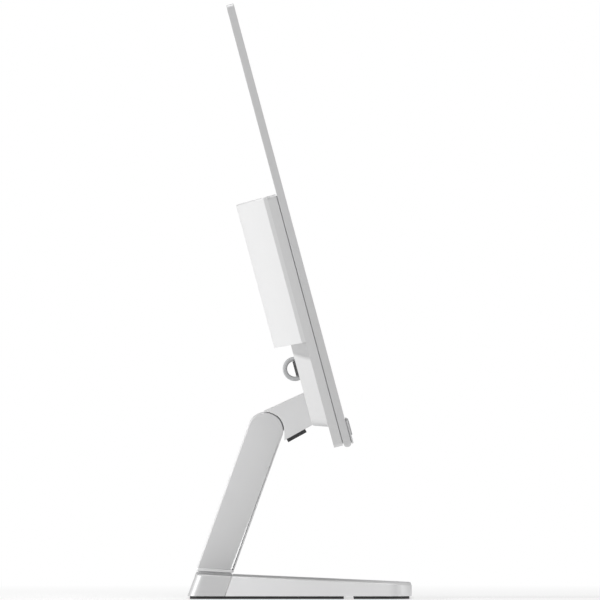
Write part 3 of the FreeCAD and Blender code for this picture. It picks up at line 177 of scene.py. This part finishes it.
def brushed_steel(name, tone):
    """Zinc-plated steel with a lengthwise grain."""
    finish = Finish(name, (tone, tone, tone), 0.35, 1.0)
    grain = finish.noise(1.0, 3, finish.stretched(40, 2400, 2400))
    finish.shade(finish.spread(grain, 0.3, 0.7, 0, 1), (tone * 0.85,) * 3, (tone * 1.1,) * 3)
    finish.rough(grain, 0.3, 0.42)
    finish.bump(grain, 0.00001, 0.4)
    return finish.material


def bare_copper(name):
    """Copper with a slight tarnish."""
    finish = Finish(name, (0.80, 0.43, 0.30), 0.3, 1.0)
    finish.shade(finish.spread(finish.noise(60, 4), 0.35, 0.7, 0, 1), (0.62, 0.30, 0.19), (0.86, 0.50, 0.36))
    finish.rough(finish.noise(200, 3), 0.24, 0.4)
    return finish.material


def board_lacquer(name):
    """Green circuit board with fine tracks under the lacquer."""
    finish = Finish(name, (0.02, 0.10, 0.05), 0.35, Coat_Weight=0.4, Coat_Roughness=0.15)
    brick = finish.add("ShaderNodeTexBrick", Scale=1.0, Mortar_Size=0.06, Brick_Width=0.7, Row_Height=0.25)
    finish.join(finish.stretched(180, 180, 180, (math.radians(75), 0, 0)), brick.inputs["Vector"])
    finish.shade(brick.outputs["Fac"], (0.012, 0.075, 0.035), (0.05, 0.2, 0.09))
    finish.bump(brick.outputs["Fac"], 0.00004, 0.5)
    return finish.material


def black_glass(name, low, high, display_half):
    """Dark cover glass: ink around the edge, and a slightly lighter panel behind its middle.

    low and high are heights between which the panel shows, display_half is half the panel's width.
    """
    finish = Finish(name, (0.004, 0.004, 0.005), 0.08, Specular_IOR_Level=0.22)
    split = finish.add("ShaderNodeSeparateXYZ")
    finish.join(finish.place, split.inputs["Vector"])

    def above(value, limit):
        """One where a value is over a limit, else zero."""
        node = finish.add("ShaderNodeMath", operation="GREATER_THAN")
        finish.join(value, node.inputs[0])
        node.inputs[1].default_value = limit
        return node.outputs["Value"]

    def both(first, second):
        """The product of two values."""
        node = finish.add("ShaderNodeMath", operation="MULTIPLY")
        finish.join(first, node.inputs[0])
        finish.join(second, node.inputs[1])
        return node.outputs["Value"]

    size = finish.add("ShaderNodeMath", operation="ABSOLUTE")
    finish.join(split.outputs["X"], size.inputs[0])
    side = finish.add("ShaderNodeMath", operation="LESS_THAN")
    finish.join(size.outputs["Value"], side.inputs[0])
    side.inputs[1].default_value = display_half
    under = finish.add("ShaderNodeMath", operation="LESS_THAN")
    finish.join(split.outputs["Z"], under.inputs[0])
    under.inputs[1].default_value = high
    panel = both(both(above(split.outputs["Z"], low), under.outputs["Value"]), side.outputs["Value"])
    finish.shade(panel, (0.0035, 0.0035, 0.004), (0.012, 0.013, 0.016))
    finish.rough(finish.noise(9, 4), 0.07, 0.1)
    return finish.material


# The display leans back, and the power button moves along it. UP runs up the display, and BACK away from
# its glass.
LEAN = math.atan2(joints["power_press"]["axis"][1], joints["power_press"]["axis"][2])
UP = np.array([0.0, math.sin(LEAN), math.cos(LEAN)])
BACK = np.array([0.0, math.cos(LEAN), -math.sin(LEAN)])

cell_low, cell_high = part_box("lcd_cell")
INK_SIDE = 0.003
INK_BOTTOM = 0.003
INK_TOP = 0.001

# The silver parts are one finish on the real thing. Each tone below is set to the grey its part shows under
# the light, so the spread of tones is painted light and shade: the box, arm and base are painted lighter, and
# the display frame and foot darker.
MATERIALS = {
    "display_metal": blasted_metal("blasted_display", 0.62),
    "cover_metal": satin_paint("satin_cover", 0.67),
    "box_metal": satin_paint("satin_box", 0.74),
    "arm_metal": blasted_metal("blasted_arm", 0.77),
    "leg_metal": blasted_metal("blasted_leg", 0.68),
    # The collar's near-white tone is a painted highlight: the light band on its rounded lip.
    "collar_metal": blasted_metal("collar_painted_highlight", 0.88, 0.15, 0.35),
    "foot_metal": blasted_metal("blasted_foot", 0.62),
    "base_metal": blasted_metal("blasted_base", 0.86),
    "chin_metal": blasted_metal("blasted_chin", 0.70),
    "front_glass": black_glass(
        "dark_front_glass", cell_low[2] + INK_BOTTOM, cell_high[2] - INK_TOP, cell_high[0] - INK_SIDE
    ),
    "panel_film": moulded_plastic("panel_film", (0.02, 0.02, 0.024), 0.4),
    "inner_steel": brushed_steel("plated_steel", 0.55),
    "dark_trim": moulded_plastic("matt_black_trim", (0.08, 0.08, 0.081), 0.7),
    # The seam strips fill the gaps between parts with the grey their shade shows: painted shade in the seams.
    "seam_trim": moulded_plastic("seam_painted_shade", (0.45, 0.45, 0.455), 0.7),
    "release_plastic": moulded_plastic("release_black", (0.055, 0.055, 0.057), 0.55),
    "button_plastic": moulded_plastic("button_grey", (0.42, 0.42, 0.43), 0.45),
    "grille_mesh": moulded_plastic("grille_dark", (0.42, 0.42, 0.423), 0.6),
    "loop_plastic": moulded_plastic("loop_grey", (0.47, 0.475, 0.48), 0.6),
    "sole_rubber": ribbed_rubber("sole_rubber_black", (0.03, 0.03, 0.03)),
    "circuit_board": board_lacquer("board_lacquer"),
    "port_steel": brushed_steel("port_steel", 0.62),
    "port_plastic": moulded_plastic("port_black", (0.018, 0.018, 0.02), 0.5),
    "cooling_metal": brushed_steel("bare_fins", 0.7),
    "pipe_copper": bare_copper("bare_copper"),
}

slot_of = {row["node"]: row["material_slot"] for row in record["subparts"]}
for name, thing in nodes.items():
    for index in range(len(thing.material_slots)):
        thing.material_slots[index].material = MATERIALS[slot_of[name]]

# ---------------------------------------------------------------------------------------------
# Pieces
# ---------------------------------------------------------------------------------------------

body_of = {node: body for body, members in record["behaviour"]["bodies"].items() for node in members}

# The leg: how far it leans from upright, half of its depth, and how much its sides bow.
LEG_LEAN = math.radians(19.8)
LEG_HALF_DEPTH = 0.015
LEG_CROWN = 0.0009
LEG_SIDE_CORNER = 0.0016
CROWN_STRIPS = 13
CROWN_REACH = 0.9

# Points closer than this are one point, faces flatter to each other than this are one face, a point this near
# to a plane is on it, and an edge sharper than this is eased.
SAME_POINT = 1e-6
SAME_FACE = math.radians(0.4)
ON_PLANE = 1e-7
SHARP_EDGE = math.radians(28)

# Where the cable loop's middle lies: behind the glass, and up the display from its foot.
LOOP_DEEP = 0.0295
LOOP_HIGH = 0.0711
LOOP_RADIUS = 0.0103
LOOP_BAND = 0.0037
LOOP_BASE_DEEP = 0.02875
LOOP_END_DEEP = 0.0274


def add_piece(name, vertices, faces, node, smooth=True):
    """Make a piece of points and faces that stands for a node, and wears its finish."""
    mesh = bpy.data.meshes.new(name)
    mesh.from_pydata(vertices, [], faces)
    mesh.polygons.foreach_set("use_smooth", np.full(len(mesh.polygons), smooth))
    mesh.materials.append(MATERIALS[slot_of[node]])
    mesh.update()
    piece = bpy.data.objects.new(name, mesh)
    bpy.context.collection.objects.link(piece)
    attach(piece, body_of[node])
    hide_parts(node)
    return piece


def ease_edges(piece, width):
    """Break a piece's sharp edges with a small rounded bevel."""
    bevel = piece.modifiers.new("eased_edges", "BEVEL")
    bevel.width = width
    bevel.segments = 2
    bevel.limit_method = "ANGLE"
    bevel.angle_limit = SHARP_EDGE
    bevel.use_clamp_overlap = False
    bevel.harden_normals = True
    bevel.miter_outer = "MITER_ARC"


def eased(node, width, crown=0.0):
    """A node's own surface, joined along its seams, with its edges broken by a small bevel.

    With a crown, the sides of the leg bow outward: a point on a side, a share u of the half depth from the
    leg's middle plane, moves inward by crown times u squared. The surface is first divided across its depth.
    """
    work = bmesh.new()
    work.from_mesh(nodes[node].data)
    bmesh.ops.remove_doubles(work, verts=work.verts, dist=SAME_POINT)
    bmesh.ops.dissolve_limit(work, angle_limit=SAME_FACE, verts=work.verts, edges=work.edges)
    if crown:
        hinge = np.array(joints["tilt_hinge"]["pos_m"])
        across = np.array([0.0, math.cos(LEG_LEAN), math.sin(LEG_LEAN)])
        for share in np.linspace(-CROWN_REACH, CROWN_REACH, CROWN_STRIPS):
            point = hinge + across * LEG_HALF_DEPTH * share
            everything = list(work.verts) + list(work.edges) + list(work.faces)
            bmesh.ops.bisect_plane(work, geom=everything, dist=ON_PLANE, plane_co=point, plane_no=across)
        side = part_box("leg_shell")[1][0]
        for vertex in work.verts:
            if abs(vertex.co.x) > side - LEG_SIDE_CORNER:
                share = (np.array(vertex.co) - hinge) @ across / LEG_HALF_DEPTH
                vertex.co.x -= math.copysign(crown * share * share, vertex.co.x)
    work.verts.index_update()
    vertices = [tuple(vertex.co) for vertex in work.verts]
    faces = [[vertex.index for vertex in face.verts] for face in work.faces]
    work.free()
    ease_edges(add_piece(node + "_eased", vertices, faces, node), width)


def head_point(across, deep, high):
    """World points from arrays in the head's axes, in metres: across, behind the glass, up the display."""
    across, deep, high = np.broadcast_arrays(across, deep, high)
    points = np.stack([across, np.zeros_like(across), np.zeros_like(across)], axis=-1).astype(float)
    return points + HEAD_ORIGIN + deep[..., None] * BACK + high[..., None] * UP


def head_origin():
    """The point from which the head's axes are measured: the foot of the display's front, at its middle.

    The loop's base bar has its middle a known way behind that point and up the display from it.
    """
    low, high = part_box("loop_base")
    centre = (np.array(low) + np.array(high)) / 2 * [0, 1, 1]
    return centre - BACK * LOOP_BASE_DEEP - UP * LOOP_HIGH


HEAD_ORIGIN = head_origin()


def make_cable_loop():
    """A strap bent into a loop: a squarish oval carried along an arc about the loop's own centre.

    A point of the oval at an angle lies half the width across times its cosine to a small power, and half the
    band out times its sine to that power. No point comes nearer to the glass than the loop's ends.
    """
    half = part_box("cable_loop")[1][0]
    sweep = math.radians(105)
    turn = np.linspace(-sweep, sweep, 57)
    lap = np.linspace(0, 2 * math.pi, 40, endpoint=False)
    squareness = 0.35
    wide = half * np.sign(np.cos(lap)) * np.abs(np.cos(lap)) ** squareness
    thick = LOOP_BAND / 2 * np.sign(np.sin(lap)) * np.abs(np.sin(lap)) ** squareness
    reach = LOOP_RADIUS - LOOP_BAND / 2 + thick[None, :]
    deep = LOOP_DEEP + reach * np.cos(turn)[:, None]
    rise = LOOP_HIGH + reach * np.sin(turn)[:, None]
    points = head_point(np.broadcast_to(wide, deep.shape), np.maximum(deep, LOOP_END_DEEP), rise)
    rings, count = deep.shape
    vertices = points.reshape(-1, 3)
    ring, step = np.meshgrid(np.arange(rings - 1), np.arange(count), indexing="ij")
    after = (step + 1) % count
    quads = np.stack([ring * count + step, ring * count + after,
                      (ring + 1) * count + after, (ring + 1) * count + step], axis=-1).reshape(-1, 4)
    faces = quads.tolist() + [list(range(count))[::-1], [(rings - 1) * count + i for i in range(count)]]
    turn_outward(add_piece("cable_loop_strap", vertices.tolist(), faces, "cable_loop"))


def turn_outward(piece, seam=0.0):
    """Turn every face of a closed piece outward, after points less than a seam apart are joined."""
    work = bmesh.new()
    work.from_mesh(piece.data)
    if seam:
        bmesh.ops.remove_doubles(work, verts=work.verts, dist=seam)
    bmesh.ops.recalc_face_normals(work, faces=work.faces)
    work.to_mesh(piece.data)
    work.free()


def make_speaker_grille():
    """A thin strip pitted with rows of round holes, in a plain rim.

    One cell is a square with a ring of eight points in it and the same ring again at the hole's floor. It is
    repeated across and up the strip. The rim runs from the cells' border out to a rounded rectangle, over a
    small edge and straight back to the strip's rear face.
    """
    half, low, high = 0.298, 0.0066, 0.0182
    front, back = -0.00275, -0.0019
    rim, pitch, hole, sink = 0.0012, 0.0018, 0.00062, 0.0006
    columns = int((2 * (half - rim)) / pitch)
    rows = int((high - low - 2 * rim) / pitch)
    left, bottom = -columns * pitch / 2, (low + high) / 2 - rows * pitch / 2
    lap = np.arange(8) * math.pi / 4
    square = np.stack([np.round(np.cos(lap)), np.round(np.sin(lap))], axis=1) * pitch / 2
    ring = np.stack([np.cos(lap), np.sin(lap)], axis=1) * hole
    cell = np.concatenate([square, ring, ring])
    depth = np.concatenate([np.full(16, front), np.full(8, front + sink)])
    across, up = np.meshgrid(np.arange(columns), np.arange(rows), indexing="ij")
    middles = np.stack([left + (across + 0.5) * pitch, bottom + (up + 0.5) * pitch], axis=-1)
    middles = middles.reshape(-1, 1, 2)
    flat = (middles + cell[None]).reshape(-1, 2)
    deep = np.tile(depth, len(middles))
    step = np.arange(8)
    after = (step + 1) % 8
    sides = np.concatenate([np.stack([step, after, after + 8, step + 8], axis=1),
                            np.stack([step + 8, after + 8, after + 16, step + 16], axis=1)])
    shift = (np.arange(len(middles)) * 24)[:, None, None]
    quads = (sides[None] + shift).reshape(-1, 4)
    floors = (np.arange(16, 24)[None] + shift[:, 0]).reshape(-1, 8)
    points = np.concatenate([flat, deep[:, None]], axis=1)
    unique, place = np.unique(np.round(points, 7), axis=0, return_inverse=True)
    place = place.reshape(-1)
    faces = place[quads].tolist() + place[floors].tolist()

    right, top = -left, bottom + rows * pitch
    xs = left + np.arange(columns * 2 + 1) * pitch / 2
    zs = bottom + np.arange(rows * 2 + 1) * pitch / 2
    border = np.concatenate([
        np.stack([xs[:-1], np.full(len(xs) - 1, bottom)], axis=1),
        np.stack([np.full(len(zs) - 1, right), zs[:-1]], axis=1),
        np.stack([xs[:0:-1], np.full(len(xs) - 1, top)], axis=1),
        np.stack([np.full(len(zs) - 1, left), zs[:0:-1]], axis=1)])
    room = np.array([half, (high - low) / 2])
    middle = np.array([0, (low + high) / 2])
    inner = np.array([right, rows * pitch / 2])
    corner = 0.0018

    def grown(edge):
        """The border moved out to a rounded rectangle, an edge's width inside the strip's outline."""
        outer = (border - middle) / inner * (room - edge)
        over = np.abs(outer) - (room - edge - corner)
        length = np.hypot(np.maximum(over[:, 0], 0), np.maximum(over[:, 1], 0))
        beyond = (over[:, 0] > 0) & (over[:, 1] > 0) & (length > corner)
        pull = np.where(beyond, corner / np.maximum(length, 1e-9), 1)
        kept = np.where(over > 0, (room - edge - corner) + over * pull[:, None], np.abs(outer))
        return np.sign(outer) * kept + middle

    loops = [np.concatenate([border, np.full((len(border), 1), front)], axis=1)]
    for edge, deep_at in ((0.0004, front), (0.00012, front + 0.00012), (0.0, front + 0.0004), (0.0, back)):
        loops.append(np.concatenate([grown(edge), np.full((len(border), 1), deep_at)], axis=1))
    count, start = len(border), len(unique)
    stack = np.concatenate(loops)
    ring_no, step_no = np.meshgrid(np.arange(len(loops) - 1), np.arange(count), indexing="ij")
    next_no = (step_no + 1) % count
    skirt = np.stack([ring_no * count + step_no, (ring_no + 1) * count + step_no,
                      (ring_no + 1) * count + next_no, ring_no * count + next_no], axis=-1)
    skirt = skirt.reshape(-1, 4) + start
    faces += skirt.tolist() + [[start + (len(loops) - 1) * count + i for i in range(count)][::-1]]
    everything = np.concatenate([unique, stack])
    vertices = head_point(everything[:, 0], everything[:, 2], everything[:, 1])
    piece = add_piece("speaker_grille_strip", vertices.tolist(), faces, "speaker_grille", smooth=False)
    turn_outward(piece, SAME_POINT)


# The width of each eased piece's bevel, in metres.
EASED = {
    "front_frame": 0.00025,
    "chin_plate": 0.00015,
    "arm_shell": 0.0004,
    "release_bar": 0.0003,
    "leg_neck": 0.0002,
    "loop_base": 0.0003,
    "base_shell": 0.0002,
    "foot_block": 0.0002,
    "power_button": 0.0002,
    "camera_shutter": 0.0001,
}
CROWNED = {"leg_shell": 0.0004, "leg_front_cover": 0.0002, "leg_collar": 0.0003}
for node, width in EASED.items():
    eased(node, width)
for node, width in CROWNED.items():
    eased(node, width, LEG_CROWN)
make_cable_loop()
make_speaker_grille()

# ---------------------------------------------------------------------------------------------
# Floor, light and camera
# ---------------------------------------------------------------------------------------------


def make_stage():
    """A wide pale floor just under the soles, more than half aglow, which fades into the room's white."""
    half, drop = 6.0, 0.0005
    mesh = bpy.data.meshes.new("floor")
    corners = [(-half, -half), (half, -half), (half, half), (-half, half)]
    mesh.from_pydata([(x, y, -drop) for x, y in corners], [], [(0, 1, 2, 3)])
    floor = bpy.data.objects.new("floor", mesh)
    bpy.context.collection.objects.link(floor)
    finish = Finish("pale_floor", (0.93, 0.93, 0.93), 0.8)
    finish.shade(finish.noise(2, 2), (0.93, 0.93, 0.93), (0.96, 0.96, 0.96))
    length = finish.add("ShaderNodeVectorMath", operation="LENGTH")
    finish.join(finish.place, length.inputs[0])
    near, far, least = 0.2, 1.1, 0.6
    fade = finish.spread(length.outputs["Value"], near, far, least, 1)
    glow = finish.add("ShaderNodeEmission", Strength=1.0)
    blend = finish.add("ShaderNodeMixShader")
    finish.join(fade, blend.inputs["Fac"])
    finish.join(finish.shader.outputs["BSDF"], blend.inputs[1])
    finish.join(glow.outputs["Emission"], blend.inputs[2])
    finish.join(blend.outputs["Shader"], finish.tree.nodes["Material Output"].inputs["Surface"])
    mesh.materials.append(finish.material)


def soft_light(name, place, target, size, power):
    """A square soft light at a place, turned to a target."""
    data = bpy.data.lights.new(name, "AREA")
    data.shape = "SQUARE"
    data.size = size
    data.energy = power
    lamp = bpy.data.objects.new(name, data)
    bpy.context.collection.objects.link(lamp)
    lamp.location = place
    lamp.rotation_euler = (Vector(target) - Vector(place)).to_track_quat("-Z", "Y").to_euler()


def make_light():
    """A white room, dimmer for what it lights than for the eye, with soft lights on three sides and above."""
    world = bpy.data.worlds.new("white_room")
    bpy.context.scene.world = world
    world.use_nodes = True
    tree = world.node_tree
    tree.nodes.clear()
    output = tree.nodes.new("ShaderNodeOutputWorld")
    mix = tree.nodes.new("ShaderNodeMixShader")
    path = tree.nodes.new("ShaderNodeLightPath")
    seen = tree.nodes.new("ShaderNodeBackground")
    room = tree.nodes.new("ShaderNodeBackground")
    seen.inputs["Strength"].default_value = 1.0
    seen.inputs["Color"].default_value = (1, 1, 1, 1)
    room.inputs["Color"].default_value = (1, 1, 1, 1)
    room.inputs["Strength"].default_value = 0.22
    tree.links.new(path.outputs["Is Camera Ray"], mix.inputs["Fac"])
    tree.links.new(room.outputs["Background"], mix.inputs[1])
    tree.links.new(seen.outputs["Background"], mix.inputs[2])
    tree.links.new(mix.outputs["Shader"], output.inputs["Surface"])
    middle = (0, 0, 0.25)
    soft_light("rear_light", (-1.0, 3.0, 1.2), middle, 0.4, 62)
    soft_light("side_light", (-3.0, -0.3, 1.1), middle, 0.8, 6)
    soft_light("front_light", (-0.6, -2.9, 0.9), middle, 1.6, 14)
    soft_light("top_light", (0.0, 0.2, 2.8), middle, 1.6, 36)


def make_camera():
    """A very long lens at the object's left, level with its middle."""
    data = bpy.data.cameras.new("camera")
    data.lens = 1700
    data.sensor_width = 36
    field = 0.50455
    distance = field / 2 / (data.sensor_width / 2 / data.lens)
    data.clip_start = 1
    data.clip_end = distance * 2
    camera = bpy.data.objects.new("camera", data)
    bpy.context.collection.objects.link(camera)
    middle = Vector((0, -0.0003, 0.25015))
    camera.location = middle + Vector((-distance, 0, 0))
    camera.rotation_euler = (middle - camera.location).to_track_quat("-Z", "Y").to_euler()
    bpy.context.scene.camera = camera


make_stage()
make_light()
make_camera()
bpy.context.scene.view_settings.view_transform = "Standard"
